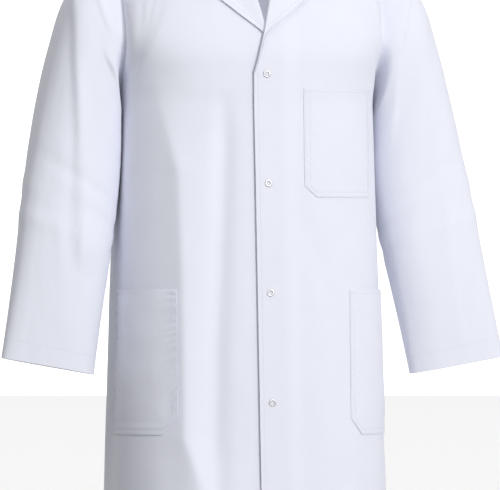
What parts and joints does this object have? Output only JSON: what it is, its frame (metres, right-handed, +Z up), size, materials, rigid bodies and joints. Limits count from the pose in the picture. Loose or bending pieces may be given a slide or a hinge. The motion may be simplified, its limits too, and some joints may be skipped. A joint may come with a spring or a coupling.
{
  "type": "lab coat",
  "caption": "White lab coat with turned lapels, a snap front, one chest pocket, two lower patch pockets and long sleeves.",
  "frame": {"origin": "middle of the neck opening, level with the points where the shoulder seams meet the neck", "axes": "+Z up, the coat faces -Y, +X is the wearer's left"},
  "size_m": [0.766, 0.363, 1.0872],
  "materials": {
    "twill": "matte",
    "facing_twill": "matte",
    "tape": "matte",
    "snap_metal": "satin"
  },
  "bodies": {
    "coat_body": {"left_front_shoulder": "twill", "right_front_shoulder": "twill", "left_lapel": "twill", "right_lapel": "twill", "left_back_panel": "twill", "right_back_panel": "twill", "upper_collar": "twill", "under_collar": "facing_twill"},
    "left_front": {"left_front_panel": "twill", "left_front_facing": "facing_twill", "chest_pocket": "twill", "left_lower_pocket": "twill", "snap_ring_1": "snap_metal", "snap_ring_2": "snap_metal", "snap_ring_3": "snap_metal", "snap_ring_4": "snap_metal", "snap_socket_1": "snap_metal", "snap_socket_2": "snap_metal", "snap_socket_3": "snap_metal", "snap_socket_4": "snap_metal"},
    "right_front": {"right_front_panel": "twill", "right_front_facing": "facing_twill", "right_lower_pocket": "twill", "snap_stud_1": "snap_metal", "snap_stud_2": "snap_metal", "snap_stud_3": "snap_metal", "snap_stud_4": "snap_metal", "snap_back_ring_1": "snap_metal", "snap_back_ring_2": "snap_metal", "snap_back_ring_3": "snap_metal", "snap_back_ring_4": "snap_metal"},
    "left_arm": {"left_sleeve": "twill"},
    "right_arm": {"right_sleeve": "twill"},
    "loop": {"hanger_loop": "tape"}
  },
  "joints": [
    {"name": "left_front_open", "type": "hinge", "parent": "coat_body", "child": "left_front", "pos_m": [0.1909, 0, -0.2625], "axis": [-0.033, 0, 0.9995], "range_deg": [0, 25]},
    {"name": "right_front_open", "type": "hinge", "parent": "coat_body", "child": "right_front", "pos_m": [-0.1909, 0, -0.2625], "axis": [-0.033, 0, -0.9995], "range_deg": [0, 16]},
    {"name": "left_sleeve_raise", "type": "hinge", "parent": "coat_body", "child": "left_arm", "pos_m": [0.2, 0, -0.055], "axis": [0, -1, 0], "range_deg": [0, 45]},
    {"name": "right_sleeve_raise", "type": "hinge", "parent": "coat_body", "child": "right_arm", "pos_m": [-0.2, 0, -0.055], "axis": [0, 1, 0], "range_deg": [0, 45]},
    {"name": "hanger_loop_swing", "type": "hinge", "parent": "coat_body", "child": "loop", "pos_m": [0, 0.062, -0.02], "axis": [-1, 0, 0], "range_deg": [0, 150]}
  ],
  "couplings": [
    {"joint": "right_front_open", "follows": "left_front_open", "ratio": 0.6}
  ]
}
